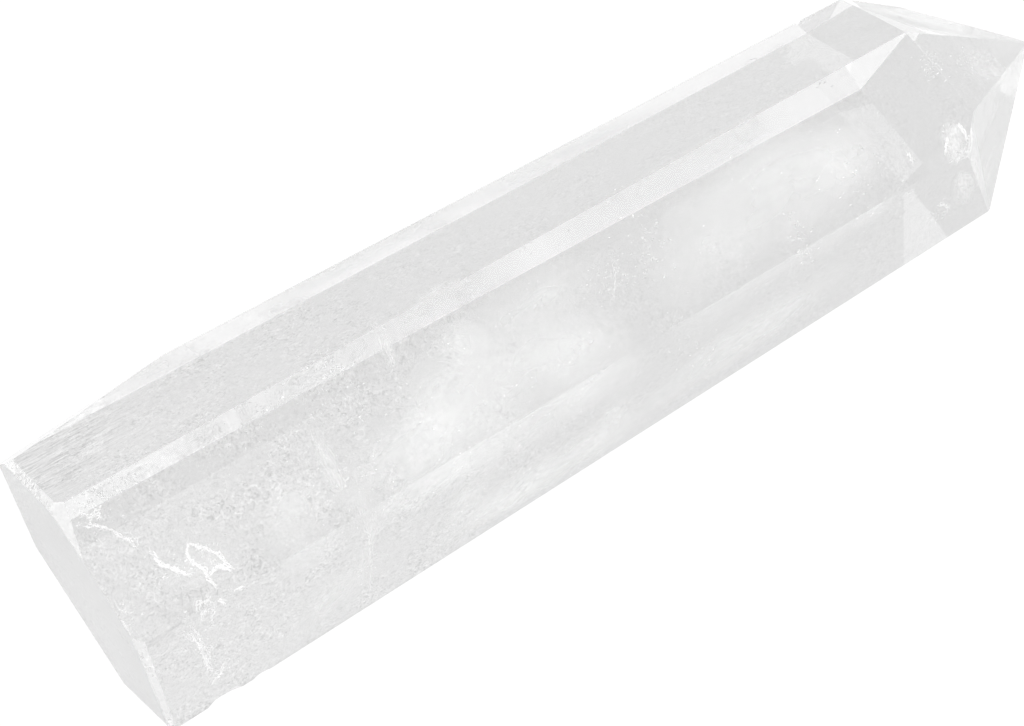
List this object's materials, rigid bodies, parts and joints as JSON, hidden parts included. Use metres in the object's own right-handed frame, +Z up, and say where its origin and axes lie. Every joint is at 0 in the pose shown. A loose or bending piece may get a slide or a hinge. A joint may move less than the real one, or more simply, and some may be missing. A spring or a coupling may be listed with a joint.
{
  "type": "quartz crystal point",
  "caption": "Clear colourless quartz point: a tapering six-sided crystal with a pointed end and a flat ground base, lying on one side.",
  "frame": {"origin": "middle of the crystal's bounding box in X and Y, on the surface it lies on", "axes": "+X along the crystal from the flat ground base to the point, +Z up, away from the side it lies on"},
  "size_m": [0.0806, 0.0222, 0.0201],
  "materials": {
    "clear_quartz": "polished"
  },
  "bodies": {
    "root": {"quartz_point": "clear_quartz"}
  },
  "joints": []
}
